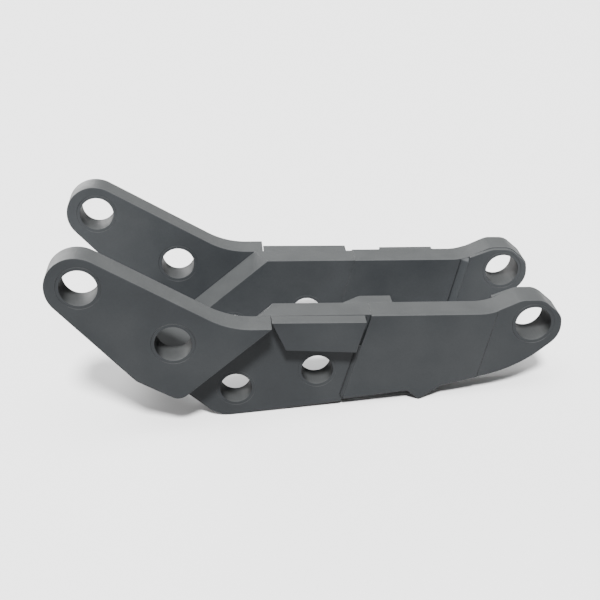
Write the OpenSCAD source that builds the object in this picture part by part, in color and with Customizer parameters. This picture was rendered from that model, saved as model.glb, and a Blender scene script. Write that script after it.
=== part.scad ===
// Twin-cheek quick coupler frame, welded from plates, standing on its lower edges.
// +X runs from the raised arms to the nose, +Y points to the far cheek, +Z is up.
// Outlines are drawn in the XZ plane, with X = 0 at the arm end bore and Z = 0 at the floor.

/* [Cheek spacing] */
// Clear gap between the two main plates
body_gap = 136; // [128:1:144]
// Thickness of a main plate
main_t = 36; // [34:1:38]
// Thickness of an arm plate, lapped on the outside of the main plate
arm_t = 38; // [34:1:44]
// Thickness of a nose plate, butted to the end of the main plate
nose_t = 40; // [38:1:44]
// Thickness of the doubler inside the nose plate's eye
doubler_t = 6; // [4:1:12]

/* [Pin bores] */
// Pin bore at the arm end and in the middle of the arm
arm_bore_d = 45; // [40:1:50]
// Pin bore at the rear and at the front of the main plate
body_bore_d = 40; // [35:1:45]
// Pin bore in the nose
nose_bore_d = 45; // [40:1:45]
// Wall of each hardened bush
bush_wall = 4; // [3:0.5:5]
// Height of the arm end bore above the floor
arm_end_z = 210; // [206:1:214]
// Distance from the arm end bore to the middle bore
mid_x = 102; // [98:1:106]
// Height of the arm's middle bore
mid_z = 127; // [124:1:130]
// Distance from the arm end bore to the rear bore of the body
rear_x = 171; // [168:1:176]
// Height of the rear bore of the body
rear_z = 38; // [36:1:42]
// Distance from the arm end bore to the front bore of the body
front_x = 275; // [268:1:280]
// Height of the front bore of the body
front_z = 54; // [50:1:58]
// Distance from the arm end bore to the nose bore
nose_x = 550; // [544:1:556]
// Height of the nose bore
nose_z = 94; // [92:1:97]

/* [Arm plate] */
// Radius of the round arm end
arm_end_r = 38; // [36:1:40]
// How far the centre of the round arm end lies beyond its bore
arm_end_lead = 2.5; // [0:0.5:4]
// Slope of the arm's top edge, in degrees
arm_top_slope = 34; // [32:0.5:35]
// Slope of the arm's underside next to the round end, in degrees
arm_under_slope = 51.5; // [51:0.1:53]
// Rear end of the belly edge, from the arm end bore
heel_x = 52; // [50:1:54]
// Slope of the belly edge, in degrees
belly_slope = 33; // [31:0.5:35]
// Radius of the hollow where the arm's top edge meets the body's
arm_hollow_r = 110; // [80:5:120]

/* [Body] */
// Slope of the lapped joint between arm and main plate, in degrees
lap_slope = 36; // [35:0.5:39]
// Place of the arm's front end along the lap, measured at lap_ref_z
arm_front_x = 174; // [172:1:178]
// Horizontal overlap of the two plates
lap_overlap = 13; // [8:1:20]
// Bevel across the rear end of the main plate, horizontal
main_bevel = 18; // [8:1:20]
// Height of the body's top edge where the upper pad starts
top_z = 133.5; // [130:0.5:136]
// Fall of the body's top edge toward the nose, in degrees
top_fall = 4.6; // [4:0.1:5]
// Place of the round rear end of the sole, which touches the floor
sole_x = 163.5; // [162:0.5:166]
// Radius of the round rear end of the sole
sole_r = 42; // [38:1:44]
// Rise of the main plate's lower edge toward the nose, in degrees
sole_rise = 2.2; // [1:0.1:3]
// Place of the seam between main and nose plate, at half height
seam_x = 329; // [322:1:332]
// Lean of the seam from upright, in degrees
seam_lean = 20; // [18:0.5:22]

/* [Pads and lugs] */
// Place of the lower rear corner of the upper pad
pad_x = 237; // [230:1:242]
// Height of the upper pad at that corner
pad_h = 38; // [30:1:40]
// How far the upper pad stands out from the main plate
pad_t = 21; // [14:1:24]
// Groove between the upper pad and the nose plate
pad_groove = 8; // [3:1:10]
// Length of the small front pad on the far nose plate
front_pad_l = 74; // [60:1:80]
// How far the small front pad stands out
front_pad_t = 8; // [5:1:10]
// Length of the stop lug, inside the near cheek across the seam
lug_l = 64; // [50:1:70]
// How far the stop lug stands in from the near cheek
lug_t = 20; // [14:1:24]
// Depth of the stop lug below the top edge
lug_h = 44; // [30:1:50]

/* [Nose] */
// How far the nose reaches beyond its bore
nose_reach = 36; // [34:1:38]
// Rise of the top edge up to the round nose end, in degrees
nose_rise = 20; // [18:0.5:22]
// Tip of the tooth under the nose plate, which touches the floor
tooth_x = 403; // [400:1:406]
// Place of the crease where the nose eye begins, at crease_ref_z
crease_x = 494; // [490:1:500]
// Depth of the relief on the outside of the nose eye
eye_relief = 1; // [0.5:0.5:4]

/* [Cross members] */
// Thickness of the belly plate between the arms
belly_t = 16; // [12:1:18]
// Distance from the arm end bore to the front cross bar
bar_x = 404; // [390:1:420]
// Diameter of the front cross bar between the nose plates
bar_d = 44; // [36:1:48]

/* [Hidden] */
$fn = 96;
near = -1;
far = 1;
frame_paint = "#565A5E";
bush_paint = "#505458";
corner_steps = 10;
round_end_steps = 40;

main_in = body_gap / 2;
main_out = main_in + main_t;
arm_out = main_out + arm_t;
nose_out = main_in + nose_t;
eye_in = main_in - doubler_t;
centre_x = (nose_x + nose_reach - arm_end_r - arm_end_lead) / 2;
lap_ref_z = 100;
crease_ref_z = 78;
half_height = 77;
crease_lean = 17;
top_start_x = 240;
tall = 300;

// Points of an arc about c, from angle a0 to a1.
function arc(c, r, a0, a1, steps = corner_steps) =
  [for (i = [0:steps]) let (a = a0 + (a1 - a0) * i / steps) c + r * [cos(a), sin(a)]];

// Points of a corner b, between its neighbours a and c, rounded to radius r.
function corner(a, b, c, r) =
  let (
    u = (a - b) / norm(a - b),
    v = (c - b) / norm(c - b),
    half = acos(u * v) / 2,
    centre = b + (u + v) / norm(u + v) * r / sin(half),
    from = b + u * r / tan(half) - centre,
    to = b + v * r / tan(half) - centre,
    a0 = atan2(from[1], from[0]),
    turn = atan2(from[0] * to[1] - from[1] * to[0], from * to)
  )
  arc(centre, r, a0, a0 + turn);

// Where the line through p with slope angle a meets the line through q with slope angle b.
function meet(p, a, q, b) =
  let (
    d = q - p,
    t = (d[0] * sin(b) - d[1] * cos(b)) / sin(b - a)
  )
  p + t * [cos(a), sin(a)];

function top_edge(x) = [x, top_z - (x - top_start_x) * tan(top_fall)];

arm_end = [0, arm_end_z];
arm_middle = [mid_x, mid_z];
body_rear = [rear_x, rear_z];
body_front = [front_x, front_z];
nose_end = [nose_x, nose_z];

arm_front = [arm_front_x, lap_ref_z];
main_rear = [arm_front_x - lap_overlap, lap_ref_z];
seam = [seam_x, half_height];
seam_angle = 90 - seam_lean;

// The arm plate: where its straight edges leave the round end, and its corners.
arm_under_angle = 270 - arm_under_slope;
arm_over_angle = 90 - arm_top_slope;
arm_round = arm_end - [arm_end_lead, 0];
arm_under = arm_round + arm_end_r * [cos(arm_under_angle), sin(arm_under_angle)];
arm_over = arm_round + arm_end_r * [cos(arm_over_angle), sin(arm_over_angle)];
heel = [heel_x, arm_under[1] - (heel_x - arm_under[0]) * tan(arm_under_slope)];
heel_r = 22;
toe_r = 16;
arm_toe = meet(heel, -belly_slope, arm_front, lap_slope);
arm_top_corner = meet(arm_front, lap_slope, top_edge(0), -top_fall);
arm_bend = meet(arm_over, -arm_top_slope, top_edge(0), -top_fall);

// The main plate: the round rear end of its sole, its rear corner and both ends of the seam.
rear_edge_slope = 45;
rear_corner_r = 14;
sole_centre = [sole_x, sole_r];
sole_start = sole_centre + sole_r * [sin(sole_rise), -cos(sole_rise)];
sole_end = sole_centre - sole_r * [sin(rear_edge_slope), cos(rear_edge_slope)];
main_rear_corner = meet(main_rear, lap_slope, sole_end, -rear_edge_slope);
seam_bottom = meet(seam, seam_angle, sole_start, sole_rise);
seam_top = meet(seam, seam_angle, top_edge(0), -top_fall);
main_top_corner = meet(main_rear, lap_slope, top_edge(0), -top_fall);

// The nose plate: its lower edge with the tooth, and the corners of its eye.
nose_back_slope = 2.5;
tooth_back = [tooth_x - 15, 14];
tooth_tip = [tooth_x, 0];
tooth_front = [tooth_x + 29, 17];
nose_back = meet(seam, seam_angle, tooth_back, nose_back_slope);
// Each eye corner: its place from the bore, and its rounding.
eye_brow = [-14, 33.5];
eye_brow_r = 24;
eye_shoulder = [12.6, 31.2];
eye_shoulder_r = 22;
eye_tip = [nose_reach, 7.8];
eye_tip_r = 18;
eye_chin = [nose_reach, -19.5];
eye_chin_r = 32;
eye_throat = [-21, -61];
eye_throat_r = 170;
nose_bend = meet(nose_end + eye_brow, nose_rise, top_edge(0), -top_fall);
nose_hollow_r = 70;
crease = [crease_x, crease_ref_z];
crease_half = tall / 2 * [sin(crease_lean), cos(crease_lean)];
crease_top = crease + crease_half;
crease_bottom = crease - crease_half;

// A plate of the given outline, from y0 to y1 out from the middle, on one side.
module plate(side, y0, y1) {
  translate([-centre_x, side * (y0 + y1) / 2, 0])
    rotate([90, 0, 0])
      linear_extrude(height = y1 - y0, center = true) children();
}

// The same for a piece that crosses from cheek to cheek.
module across(width) {
  translate([-centre_x, 0, 0])
    rotate([90, 0, 0])
      linear_extrude(height = width, center = true) children();
}

module at(p) {
  translate([p[0], p[1], 0]) children();
}

module bush_seat(p, bore_d) {
  at(p) circle(d = bore_d + 2 * bush_wall);
}

module arm_outline() {
  polygon(concat(
    arc(arm_round, arm_end_r, arm_under_angle, arm_over_angle, round_end_steps),
    corner(arm_over, arm_bend, arm_top_corner, arm_hollow_r),
    [arm_top_corner],
    corner(arm_top_corner, arm_toe, heel, toe_r),
    corner(arm_toe, heel, arm_under, heel_r)
  ));
}

module main_outline() {
  polygon(concat(
    [main_top_corner, seam_top, seam_bottom],
    arc(sole_centre, sole_r, 270 + sole_rise, 270 - rear_edge_slope),
    corner(sole_end, main_rear_corner, main_top_corner, rear_corner_r)
  ));
}

// The round end of the nose, sized by ratio about its bore, between the points before and after.
function eye_end(ratio, before, after) =
  let (
    brow = nose_end + ratio * eye_brow,
    shoulder = nose_end + ratio * eye_shoulder,
    tip = nose_end + ratio * eye_tip,
    chin = nose_end + ratio * eye_chin,
    throat = nose_end + ratio * eye_throat
  )
  concat(
    corner(before, brow, shoulder, ratio * eye_brow_r),
    corner(brow, shoulder, tip, ratio * eye_shoulder_r),
    corner(shoulder, tip, chin, ratio * eye_tip_r),
    corner(tip, chin, throat, ratio * eye_chin_r),
    corner(chin, throat, after, ratio * eye_throat_r)
  );

module nose_outline() {
  polygon(concat(
    [seam_top],
    corner(seam_top, nose_bend, nose_end + eye_brow, nose_hollow_r),
    eye_end(1, nose_bend, tooth_front),
    [tooth_front, tooth_tip, tooth_back, nose_back]
  ));
}

// Everything beyond the crease, where the nose eye lies.
module beyond_crease() {
  polygon([crease_top, crease_top + [tall, 0], crease_bottom + [tall, 0], crease_bottom]);
}

module arm_plate(side) {
  color(frame_paint)
    plate(side, main_out, arm_out)
      difference() {
        arm_outline();
        bush_seat(arm_end, arm_bore_d);
        bush_seat(arm_middle, arm_bore_d);
      }
}

// The rear end of the main plate is bevelled from a narrow land on its outer face, so that its
// inner edge lies further forward.
module main_plate(side) {
  land = 2;
  bevel_angle = atan(main_bevel * sin(lap_slope) / (main_t - land));
  color(frame_paint)
    difference() {
      plate(side, main_in, main_out)
        difference() {
          main_outline();
          bush_seat(body_rear, body_bore_d);
          bush_seat(body_front, body_bore_d);
        }
      translate([main_rear[0] - centre_x, side * (main_out - land), main_rear[1]])
        rotate([0, -lap_slope, 0])
          rotate([side * bevel_angle, 0, 0])
            translate([-tall, side > 0 ? -tall : 0, 0])
              cube([2 * tall, tall, tall]);
    }
}

module nose_plate(side) {
  color(frame_paint)
    difference() {
      plate(side, main_in, nose_out)
        difference() {
          nose_outline();
          bush_seat(nose_end, nose_bore_d);
        }
      plate(side, nose_out - eye_relief, nose_out + 1) beyond_crease();
    }
}

// The doubler follows the eye's outline a little inside it, and ends at the crease.
module nose_doubler(side) {
  ratio = 0.96;
  top_start = nose_bend - [10, 1.5];
  low_start = tooth_front + [35, 9];
  color(frame_paint)
    plate(side, eye_in, main_in)
      difference() {
        intersection() {
          polygon(concat([top_start], eye_end(ratio, top_start, low_start), [low_start]));
          beyond_crease();
        }
        bush_seat(nose_end, nose_bore_d);
      }
}

// The pad stands on the main plate above its front bore, from the arm's top corner to the groove.
module upper_pad(side) {
  pad_fall = 7.5;
  groove = [pad_groove, 0];
  rear_low = top_edge(pad_x) - [0, pad_h];
  color(frame_paint)
    plate(side, main_out, main_out + pad_t)
      polygon([
        arm_top_corner,
        seam_top - groove,
        meet(seam - groove, seam_angle, rear_low, -pad_fall),
        rear_low
      ]);
}

module front_pad(side) {
  x0 = 386;
  color(frame_paint)
    plate(side, nose_out, nose_out + front_pad_t)
      polygon([
        top_edge(x0),
        top_edge(x0 + front_pad_l),
        top_edge(x0 + front_pad_l) - [0, pad_h],
        top_edge(x0) - [0, pad_h]
      ]);
}

// The lug stands in from the cheek; its rear end is ramped and its lower front corner is cut.
module stop_lug(side) {
  x0 = 314;
  ramp = 24;
  toe = 8;
  color(frame_paint)
    intersection() {
      plate(side, main_in - lug_t, main_in)
        polygon([
          top_edge(x0),
          top_edge(x0 + lug_l),
          top_edge(x0 + lug_l) - [0, lug_h - toe],
          top_edge(x0 + lug_l - toe) - [0, lug_h],
          top_edge(x0) - [0, lug_h]
        ]);
      translate([-centre_x, 0, 0])
        linear_extrude(height = tall)
          polygon([
            [x0, side * main_in],
            [x0 + ramp, side * (main_in - lug_t)],
            [x0 + lug_l, side * (main_in - lug_t)],
            [x0 + lug_l, side * main_in]
          ]);
    }
}

// The belly plate closes the underside between the arms and is notched round the main plates.
module belly_plate() {
  lift = 3;
  reach = 72;
  start = heel + lift * [sin(belly_slope), cos(belly_slope)];
  along = [cos(belly_slope), -sin(belly_slope)];
  up = [sin(belly_slope), cos(belly_slope)];
  color(frame_paint)
    difference() {
      across(2 * main_out)
        polygon([start, start + belly_t * up, start + belly_t * up + reach * along, start + reach * along]);
      plate(near, main_in, main_out + 1) main_outline();
      plate(far, main_in, main_out + 1) main_outline();
    }
}

module front_cross_bar() {
  floor_gap = 6;
  color(frame_paint) across(body_gap) at([bar_x, floor_gap + bar_d / 2]) circle(d = bar_d);
}

module bush(side, p, bore_d, y0, y1) {
  color(bush_paint)
    plate(side, y0, y1)
      difference() {
        bush_seat(p, bore_d);
        at(p) circle(d = bore_d);
      }
}

arm_plate(near);  // near_arm_plate
arm_plate(far);  // far_arm_plate
main_plate(near);  // near_main_plate
main_plate(far);  // far_main_plate
nose_plate(near);  // near_nose_plate
nose_plate(far);  // far_nose_plate
nose_doubler(near);  // near_nose_doubler
nose_doubler(far);  // far_nose_doubler
upper_pad(near);  // near_upper_pad
upper_pad(far);  // far_upper_pad
front_pad(far);  // far_front_pad
stop_lug(near);  // near_stop_lug
belly_plate();
front_cross_bar();
bush(near, arm_end, arm_bore_d, main_out, arm_out);  // near_arm_end_bush
bush(far, arm_end, arm_bore_d, main_out, arm_out);  // far_arm_end_bush
bush(near, arm_middle, arm_bore_d, main_out, arm_out);  // near_arm_middle_bush
bush(far, arm_middle, arm_bore_d, main_out, arm_out);  // far_arm_middle_bush
bush(near, body_rear, body_bore_d, main_in, main_out);  // near_body_rear_bush
bush(far, body_rear, body_bore_d, main_in, main_out);  // far_body_rear_bush
bush(near, body_front, body_bore_d, main_in, main_out);  // near_body_front_bush
bush(far, body_front, body_bore_d, main_in, main_out);  // far_body_front_bush
bush(near, nose_end, nose_bore_d, eye_in, nose_out - eye_relief);  // near_nose_bush
bush(far, nose_end, nose_bore_d, eye_in, nose_out - eye_relief);  // far_nose_bush
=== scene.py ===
"""The looks of the quick coupler frame: satin dark grey paint on thick welded plate, in a pale studio."""
import math

import bmesh
import bpy
from mathutils import Matrix, Vector
from mathutils.bvhtree import BVHTree


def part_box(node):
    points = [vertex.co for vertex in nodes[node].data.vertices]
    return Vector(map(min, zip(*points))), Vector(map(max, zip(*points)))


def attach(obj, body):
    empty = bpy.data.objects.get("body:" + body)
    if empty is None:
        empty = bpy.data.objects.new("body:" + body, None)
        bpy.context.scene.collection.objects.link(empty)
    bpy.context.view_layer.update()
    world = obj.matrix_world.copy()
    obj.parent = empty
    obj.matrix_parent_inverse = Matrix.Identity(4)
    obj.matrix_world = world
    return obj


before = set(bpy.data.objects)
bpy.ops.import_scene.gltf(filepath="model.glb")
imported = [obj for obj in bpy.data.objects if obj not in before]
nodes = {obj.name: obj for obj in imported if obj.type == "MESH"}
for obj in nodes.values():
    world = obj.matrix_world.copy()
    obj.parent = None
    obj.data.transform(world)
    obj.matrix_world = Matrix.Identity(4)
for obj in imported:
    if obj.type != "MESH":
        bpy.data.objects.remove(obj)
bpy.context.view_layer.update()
scene = bpy.context.scene

# Camera: where it looks from, in degrees and metres, and the point that it looks at.
CAMERA_AZIMUTH = 2.6
CAMERA_ELEVATION = 25.2
CAMERA_ROLL = -3.8
CAMERA_DISTANCE = 1.50
CAMERA_AIM = Vector((-0.00875, 0.0, 0.104))
CAMERA_LENS = 67.8


def make_camera():
    """The camera at the photograph's viewing angle, a few degrees out of level."""
    az, el = math.radians(CAMERA_AZIMUTH), math.radians(CAMERA_ELEVATION)
    forward = Vector((math.sin(az) * math.cos(el), math.cos(az) * math.cos(el), -math.sin(el)))
    turn = forward.to_track_quat("-Z", "Y").to_matrix() @ Matrix.Rotation(math.radians(CAMERA_ROLL), 3, "Z")
    data = bpy.data.cameras.new("camera")
    data.lens = CAMERA_LENS
    camera = bpy.data.objects.new("camera", data)
    camera.location = CAMERA_AIM - forward * CAMERA_DISTANCE
    camera.rotation_euler = turn.to_euler()
    scene.collection.objects.link(camera)
    scene.camera = camera


make_camera()


# ---------------------------------------------------------------- materials

# The paint's three greys, the dust that lies on it and also paints light onto the tops, and the paler steel
# where it is rubbed thin, which also paints a highlight along the edges.
PAINT_DEEP = (0.0103, 0.0113, 0.0123)
PAINT = (0.0126, 0.0137, 0.0147)
PAINT_PALE = (0.0156, 0.0167, 0.0177)
DUST_AND_TOP_LIGHT = (0.0425, 0.0443, 0.0446)
WORN_AND_EDGE_LIGHT = (0.0480, 0.0490, 0.0500)
# How far in from an edge the paint is rubbed and paler, as wear and as a painted edge highlight.
EDGE_REACH = 0.0016
# Scales of the paint's patches, clouds and grain, in cycles per metre.
PATCH_SCALE = 7.0
CLOUD_SCALE = 38.0
GRAIN_SCALE = 420.0
CLOUD_DEPTH = 0.0012
GRAIN_DEPTH = 0.0003
# Old paint has little shine.
PAINT_SPECULAR = 0.08
FLOOR_GREY = (0.62, 0.62, 0.62, 1)


def new_material(name):
    """An empty node material: itself, its node tree and its Principled shader."""
    material = bpy.data.materials.new(name)
    material.use_nodes = True
    tree = material.node_tree
    tree.nodes.clear()
    shader = tree.nodes.new("ShaderNodeBsdfPrincipled")
    output = tree.nodes.new("ShaderNodeOutputMaterial")
    tree.links.new(shader.outputs["BSDF"], output.inputs["Surface"])
    return material, tree, shader


def noise(tree, scale, detail, roughness=0.55):
    """A noise texture in the object's own metres."""
    where = tree.nodes.new("ShaderNodeTexCoord")
    texture = tree.nodes.new("ShaderNodeTexNoise")
    texture.inputs["Scale"].default_value = scale
    texture.inputs["Detail"].default_value = detail
    texture.inputs["Roughness"].default_value = roughness
    tree.links.new(where.outputs["Object"], texture.inputs["Vector"])
    return texture.outputs["Fac"]


def ramp(tree, value, stops):
    """A colour ramp over value, with stops of (position, grey or colour)."""
    node = tree.nodes.new("ShaderNodeValToRGB")
    band = node.color_ramp
    while len(band.elements) < len(stops):
        band.elements.new(0.5)
    for element, (position, colour) in zip(band.elements, stops):
        element.position = position
        element.color = (*colour, 1) if isinstance(colour, tuple) else (colour, colour, colour, 1)
    tree.links.new(value, node.inputs["Fac"])
    return node.outputs["Color"]


def mix(tree, factor, a, b, blend="MIX"):
    """Colour a blended with b by factor; each may be a socket or a plain value."""
    node = tree.nodes.new("ShaderNodeMix")
    node.data_type = "RGBA"
    node.blend_type = blend
    for socket, value in (("Factor", factor), ("A", a), ("B", b)):
        target = [s for s in node.inputs if s.name == socket and s.enabled][0]
        if isinstance(value, bpy.types.NodeSocket):
            tree.links.new(value, target)
        elif socket == "Factor":
            target.default_value = value
        else:
            target.default_value = (*value, 1)
    return [s for s in node.outputs if s.enabled][0]


def bump(tree, height, strength, distance, normal=None):
    """A surface normal tilted by height, on top of another normal if one is given."""
    node = tree.nodes.new("ShaderNodeBump")
    node.inputs["Strength"].default_value = strength
    node.inputs["Distance"].default_value = distance
    tree.links.new(height, node.inputs["Height"])
    if normal is not None:
        tree.links.new(normal, node.inputs["Normal"])
    return node.outputs["Normal"]


def math_node(tree, operation, a, b):
    """A clamped sum, product or the like of a and b, each a socket or a plain number."""
    node = tree.nodes.new("ShaderNodeMath")
    node.operation = operation
    node.use_clamp = True
    for socket, value in zip(node.inputs, (a, b)):
        if isinstance(value, bpy.types.NodeSocket):
            tree.links.new(value, socket)
        else:
            socket.default_value = value
    return node.outputs["Value"]


def facing(tree, axis):
    """How far a surface faces along X, Y or Z, from -1 to 1."""
    geometry = tree.nodes.new("ShaderNodeNewGeometry")
    split = tree.nodes.new("ShaderNodeSeparateXYZ")
    tree.links.new(geometry.outputs["Normal"], split.inputs["Vector"])
    return split.outputs[axis]


def across(tree):
    """1 on a face that looks across the frame, such as a bush's end, and 0 on a bore's wall."""
    return ramp(tree, math_node(tree, "ABSOLUTE", facing(tree, "Y"), 0.0), [(0.3, 0.0), (0.7, 1.0)])


def near_edge(tree):
    """0 in the middle of a face and 1 on the edges of a plate, where paint rubs thin and a painted edge
    highlight goes.
    """
    geometry = tree.nodes.new("ShaderNodeNewGeometry")
    rounded = tree.nodes.new("ShaderNodeBevel")
    rounded.samples = 4
    rounded.inputs["Radius"].default_value = EDGE_REACH
    dot = tree.nodes.new("ShaderNodeVectorMath")
    dot.operation = "DOT_PRODUCT"
    tree.links.new(geometry.outputs["Normal"], dot.inputs[0])
    tree.links.new(rounded.outputs["Normal"], dot.inputs[1])
    return ramp(tree, dot.outputs["Value"], [(0.80, 1.0), (0.995, 0.0)])


def paint_ramp(tree, value, tone):
    """The paint's three greys over value, scaled by tone."""
    deep, middle, pale = [tuple(c * tone for c in colour) for colour in (PAINT_DEEP, PAINT, PAINT_PALE)]
    return ramp(tree, value, [(0.32, deep), (0.5, middle), (0.70, pale)])


def painted_steel(name, tone=1.0, roughness=0.50, texture=1.0, dust_and_top_light=0.95, wear_and_edge_light=0.5, bore_steel_and_shade_tone=None):
    """Satin grey paint over thick plate: mottled, faintly dimpled, dusty and paler on top as painted top
    light, rubbed and paler at the edges as a painted edge highlight.

    A bush has a darker tone for its bore too: the darker steel of the bore and painted shade inside it."""
    material, tree, shader = new_material(name)
    patches = noise(tree, PATCH_SCALE, 3.0)
    clouds = noise(tree, CLOUD_SCALE, 5.0, 0.6)
    grain = noise(tree, GRAIN_SCALE, 4.0, 0.6)
    base = paint_ramp(tree, patches, tone)
    # A bore's wall is painted darker than a bush's end: darker bore steel, and painted shade inside the bore.
    if bore_steel_and_shade_tone is not None:
        base = mix(tree, across(tree), paint_ramp(tree, patches, bore_steel_and_shade_tone), base)
    mottled = mix(tree, 0.16, base, ramp(tree, clouds, [(0.35, 0.42), (0.65, 0.58)]), "OVERLAY")
    grained = mix(tree, 0.18, mottled, ramp(tree, grain, [(0.35, 0.40), (0.65, 0.60)]), "OVERLAY")
    # Up-facing faces are mixed towards the pale dust colour: dust, and painted light on the tops.
    facing_up = ramp(tree, facing(tree, "Z"), [(0.40, 0.0), (0.82, dust_and_top_light)])
    dusty_and_top_lit = math_node(tree, "MULTIPLY", facing_up, ramp(tree, clouds, [(0.3, 0.78), (0.7, 1.0)]))
    dusted_and_top_lit = mix(tree, dusty_and_top_lit, grained, DUST_AND_TOP_LIGHT)
    # Edges are mixed towards the paler worn colour: rubbed paint, and a painted highlight along the edges.
    rubbed_and_edge_lit = math_node(tree, "MULTIPLY", near_edge(tree), ramp(tree, clouds, [(0.40, 0.0), (0.62, wear_and_edge_light)]))
    tree.links.new(mix(tree, rubbed_and_edge_lit, dusted_and_top_lit, WORN_AND_EDGE_LIGHT), shader.inputs["Base Color"])
    gloss = ramp(tree, clouds, [(0.30, roughness - 0.07), (0.70, roughness + 0.09)])
    tree.links.new(gloss, shader.inputs["Roughness"])
    dimples = bump(tree, clouds, 0.22 * texture, CLOUD_DEPTH)
    tree.links.new(bump(tree, grain, 0.20 * texture, GRAIN_DEPTH, dimples), shader.inputs["Normal"])
    shader.inputs["Specular IOR Level"].default_value = PAINT_SPECULAR
    return material


# Paler copies of the frame and bush paint go on the far cheek: painted light, making up for the bounce light
# that its faces between the cheeks lack.
FAR_PAINTED_LIGHT_TONE = 1.45
# A bush's bore is darker: darker steel, and painted shade inside the bore.
BUSH = dict(roughness=0.60, texture=0.5, dust_and_top_light=0.75, wear_and_edge_light=0.2, bore_steel_and_shade_tone=0.45)

frame_paint = painted_steel("frame_paint")
far_paint_painted_light = painted_steel("far_paint_painted_light", tone=FAR_PAINTED_LIGHT_TONE)
bush_paint = painted_steel("bush_paint", **BUSH)
far_bush_paint_painted_light = painted_steel("far_bush_paint_painted_light", tone=FAR_PAINTED_LIGHT_TONE, **BUSH)
weld_paint = painted_steel("weld_paint", tone=0.92, roughness=0.44, texture=1.6, dust_and_top_light=0.5, wear_and_edge_light=0.6)
# The nose doubler's bead gets a paint paler than the other welds: a painted highlight along the bead.
painted_highlight_weld_paint = painted_steel("painted_highlight_weld_paint", tone=1.7, texture=0.8, dust_and_top_light=0.5, wear_and_edge_light=0.2)


def paint_of(name):
    """The paint of a CAD node; the far cheek's nodes get the paler copies, which are painted light."""
    if name.endswith("bush"):
        return far_bush_paint_painted_light if name.startswith("far_") else bush_paint
    return far_paint_painted_light if name.startswith("far_") else frame_paint


for name, node in nodes.items():
    for material_slot in node.material_slots:
        material_slot.material = paint_of(name)


# ---------------------------------------------------------------- edges of the CAD plates

# Widths of the rounded edges. A main plate has a narrow land at its rear end, so its edges stay finer.
EDGE_WIDTH = 0.0009
MAIN_EDGE_WIDTH = 0.0004
BUSH_EDGE_WIDTH = 0.0003
EDGE_SEGMENTS = 3
SHARP = math.radians(35)
FLAT = math.radians(0.3)
SAME_POINT = 1e-6


def edge_width(name):
    """How wide a node's edges are rounded."""
    if name.endswith("bush"):
        return BUSH_EDGE_WIDTH
    return MAIN_EDGE_WIDTH if name.endswith("main_plate") else EDGE_WIDTH


def soften(node, width):
    """Rounds a plate's edges, as flame cutting and shot blasting leave them.

    Its triangles are first joined into whole faces, so that only the real edges are rounded."""
    joined = node.modifiers.new("joined_faces", "WELD")
    joined.merge_threshold = SAME_POINT
    flat = node.modifiers.new("whole_faces", "DECIMATE")
    flat.decimate_type = "DISSOLVE"
    flat.angle_limit = FLAT
    bevel = node.modifiers.new("soft_edges", "BEVEL")
    bevel.width = width
    bevel.segments = EDGE_SEGMENTS
    bevel.limit_method = "ANGLE"
    bevel.angle_limit = SHARP
    bevel.use_clamp_overlap = False
    bevel.harden_normals = True


for name, node in nodes.items():
    soften(node, edge_width(name))


# ---------------------------------------------------------------- weld beads

# Spacing of a bead's rings along it, and the length of one ripple.
BEAD_STEP = 0.0012
BEAD_RIPPLE = 0.0027
# Size at a bead's ends, how much of its size it gains with each ring, and the fewest rings it has.
BEAD_START = 0.55
BEAD_GROWTH = 0.15
FEWEST_RINGS = 7
# The face beside a bead is sought this many legs out, and counts if it passes this close.
BESIDE = 1.15
TOUCHING = 0.0004
# A rim lies this close to its level, and the side faces along it lean across the frame by less than this.
ON_LEVEL = 1e-5
SIDE_LEAN = 0.7
# A bead's outline in legs: out over the face, and up its node's side. The first point is its hidden corner.
BEAD_SECTION = ((-0.10, -0.02), (-0.10, 1.0), (0.24, 0.90), (0.55, 0.66), (0.80, 0.34), (1.0, -0.02))


def surface_tree(name):
    """A search tree over a node's surface."""
    mesh = nodes[name].data
    corners = [v.co.copy() for v in mesh.vertices]
    return BVHTree.FromPolygons(corners, [tuple(p.vertices) for p in mesh.polygons])


def rim_edges(name, y):
    """The edges round a node's flat end at y: both ends, and which way the side face there looks."""
    work = bmesh.new()
    work.from_mesh(nodes[name].data)
    bmesh.ops.remove_doubles(work, verts=work.verts, dist=SAME_POINT)
    found = []
    for edge in work.edges:
        if any(abs(v.co.y - y) > ON_LEVEL for v in edge.verts) or len(edge.link_faces) != 2:
            continue
        sides = [f for f in edge.link_faces if abs(f.normal.y) < SIDE_LEAN]
        if len(sides) == 1:
            found.append((edge.verts[0].co.copy(), edge.verts[1].co.copy(), sides[0].normal.copy()))
    work.free()
    return found


def chained(edges):
    """The rim's edges in order, end to end, as lists of (from, to, side)."""
    key = lambda p: (round(p.x, 6), round(p.z, 6))
    at = {}
    for index, (a, b, side) in enumerate(edges):
        at.setdefault(key(a), []).append(index)
        at.setdefault(key(b), []).append(index)
    unused, chains = set(range(len(edges))), []
    while unused:
        index = min(unused)
        unused.discard(index)
        a, b, side = edges[index]
        chain, tail = [(a, b, side)], b
        while True:
            following = [i for i in at[key(tail)] if i in unused]
            if not following:
                break
            unused.discard(following[0])
            a, b, side = edges[following[0]]
            if key(a) != key(tail):
                a, b = b, a
            chain.append((a, b, side))
            tail = b
        chains.append(chain)
    return chains


def face_room(tree, point, outward, leg):
    """How much of a bead's leg the face beside a point has room for, from 0 for none to 1 for all of it.

    It is found in tenths, and fewer than three count as none."""
    for tenths in range(10, 2, -1):
        beside = point + outward * leg * BESIDE * tenths / 10
        hit = tree.find_nearest(beside)
        if hit[0] is not None and (hit[0] - beside).length < TOUCHING:
            return tenths / 10
    return 0


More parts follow.
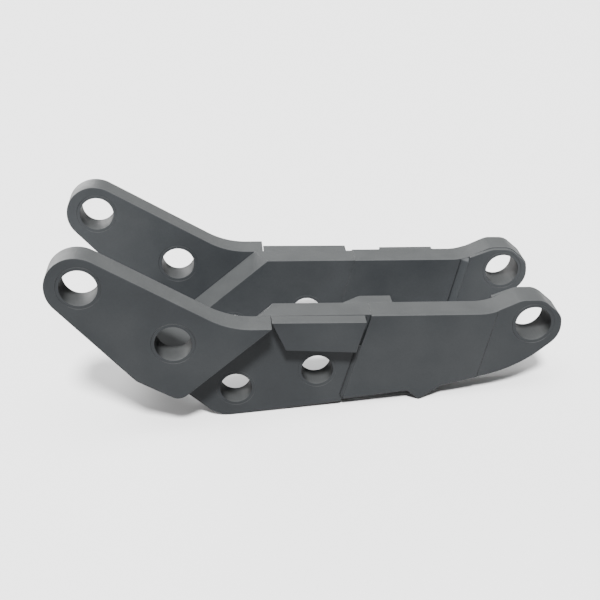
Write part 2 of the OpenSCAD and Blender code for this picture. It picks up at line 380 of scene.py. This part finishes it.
def bead_runs(name, other, y, leg, rim, ceiling):
    """Runs of (point, outward, room) at y, along the node's rim where the other node's face is beside it."""
    tree = surface_tree(other)
    runs = []
    for chain in chained(rim_edges(name, rim)):
        run = []
        for a, b, side in chain:
            outward = Vector((side.x, 0, side.z)).normalized()
            steps = max(1, round((b - a).length / BEAD_STEP))
            for i in range(steps):
                point = a.lerp(b, (i + 0.5) / steps)
                point.y = y
                room = face_room(tree, point, outward, leg)
                if point.z < ceiling and room > 0:
                    run.append((point, outward, room))
                elif run:
                    runs.append(run)
                    run = []
        if run:
            runs.append(run)
    return [run for run in runs if len(run) >= FEWEST_RINGS]


def bead_mesh(runs, rise, leg, climb, ripple):
    """The corners and faces of one closed bead for each run, which stands towards rise."""
    vertices, faces = [], []
    up = Vector((0, rise, 0))
    sides = len(BEAD_SECTION)
    for run in runs:
        start, travelled = len(vertices), 0.0
        for i, (point, outward, room) in enumerate(run):
            if i:
                travelled += (point - run[i - 1][0]).length
            ends = min(i, len(run) - 1 - i)
            wave = 1 + ripple * math.sin(travelled * 2 * math.pi / BEAD_RIPPLE)
            size = leg * min(room, BEAD_START + BEAD_GROWTH * ends) * wave
            for out, high in BEAD_SECTION:
                vertices.append(point + outward * size * out + up * size * high * climb)
        for i in range(len(run) - 1):
            for j in range(sides):
                here, beside = start + i * sides + j, start + i * sides + (j + 1) % sides
                faces.append((here, beside, beside + sides, here + sides))
        last = start + (len(run) - 1) * sides
        faces.append(tuple(range(start, start + sides)))
        faces.append(tuple(range(last, last + sides)))
    return vertices, faces


def weld(name, other, y, rise, leg=0.0045, height=None, ripple=0.07, rim=None, ceiling=1.0, paint=weld_paint):
    """A rippled fillet bead in the corner where a node stands on another's face at y, rising towards rise.

    It follows the node's rim at y, or at rim where the node's own flat end is somewhere else, and it
    stays below the ceiling. Its height is its leg, unless one is given, and ripple is how much it swells."""
    climb = 1.0 if height is None else height / leg
    runs = bead_runs(name, other, y, leg, y if rim is None else rim, ceiling)
    if not runs:
        return
    vertices, faces = bead_mesh(runs, rise, leg, climb, ripple)
    mesh = bpy.data.meshes.new("weld_" + name)
    mesh.from_pydata(vertices, [], faces)
    work = bmesh.new()
    work.from_mesh(mesh)
    bmesh.ops.recalc_face_normals(work, faces=work.faces)
    work.to_mesh(mesh)
    work.free()
    mesh.polygons.foreach_set("use_smooth", [True] * len(mesh.polygons))
    mesh.materials.append(paint)
    bead = bpy.data.objects.new("weld_" + name + "_to_" + other, mesh)
    scene.collection.objects.link(bead)
    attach(bead, "root")


def face_y(name, side, outer):
    """Where a node's outer or inner face lies across the frame, on the near (-1) or far (+1) side."""
    low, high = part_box(name)
    return high[1] if (side > 0) == outer else low[1]


for side, cheek in ((-1, "near"), (1, "far")):
    arm, main, nose = cheek + "_arm_plate", cheek + "_main_plate", cheek + "_nose_plate"
    pad = cheek + "_upper_pad"
    arm_in, nose_in = face_y(arm, side, False), face_y(nose, side, False)
    main_out, nose_out = face_y(main, side, True), face_y(nose, side, True)
    weld(arm, main, main_out, side)
    weld(pad, main, main_out, side, leg=0.0035)
    # The doubler's bead takes the paler paint, a painted highlight.
    weld(cheek + "_nose_doubler", nose, nose_in, -side, leg=0.0110, height=0.0057, ripple=0.015,
         paint=painted_highlight_weld_paint)
    weld(nose, main, main_out, side, leg=0.0050, height=0.0036, ripple=0.05, rim=nose_out,
         ceiling=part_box(pad)[0][2])
    weld("front_cross_bar", nose, nose_in, -side, leg=0.0040)
    weld("belly_plate", arm, arm_in, -side, leg=0.0050)
weld("far_front_pad", "far_nose_plate", face_y("far_nose_plate", 1, True), 1, leg=0.0035)
weld("near_stop_lug", "near_main_plate", face_y("near_main_plate", -1, False), 1, leg=0.0040)
weld("near_stop_lug", "near_nose_plate", face_y("near_nose_plate", -1, False), 1, leg=0.0040)


# ---------------------------------------------------------------- studio

FLOOR_REACH = 12.0
# The floor lies this far under the frame, so that the two don't flicker where they touch.
FLOOR_DROP = 0.0005
LAMP_DISTANCE = 3


def make_floor():
    """A plain pale floor."""
    material, _, shader = new_material("floor_white")
    shader.inputs["Base Color"].default_value = FLOOR_GREY
    shader.inputs["Roughness"].default_value = 0.9
    shader.inputs["Specular IOR Level"].default_value = 0.1
    mesh = bpy.data.meshes.new("floor")
    corners = [(x * FLOOR_REACH, y * FLOOR_REACH, 0) for x, y in ((-1, -1), (1, -1), (1, 1), (-1, 1))]
    mesh.from_pydata(corners, [], [(0, 1, 2, 3)])
    mesh.materials.append(material)
    floor = bpy.data.objects.new("floor", mesh)
    floor.location.z = -FLOOR_DROP
    scene.collection.objects.link(floor)


def far_light(name, azimuth, elevation, spread, strength):
    """A large soft light a long way off; azimuth 0 is the side that the near cheek faces."""
    az, el = math.radians(azimuth), math.radians(elevation)
    towards = Vector((math.sin(az) * math.cos(el), -math.cos(az) * math.cos(el), math.sin(el)))
    data = bpy.data.lights.new(name, "SUN")
    data.angle = math.radians(spread)
    data.energy = strength
    lamp = bpy.data.objects.new(name, data)
    lamp.location = towards * LAMP_DISTANCE
    lamp.rotation_euler = (-towards).to_track_quat("-Z", "Y").to_euler()
    scene.collection.objects.link(lamp)


def make_world(strength):
    """An even white surround."""
    world = bpy.data.worlds.new("studio")
    world.use_nodes = True
    background = world.node_tree.nodes["Background"]
    background.inputs["Color"].default_value = (1, 1, 1, 1)
    background.inputs["Strength"].default_value = strength
    scene.world = world


make_floor()
make_world(0.45)
far_light("key", azimuth=2, elevation=51, spread=9, strength=14.4)
far_light("top", azimuth=15, elevation=76, spread=50, strength=4.0)
far_light("back", azimuth=205, elevation=9, spread=40, strength=4.2)
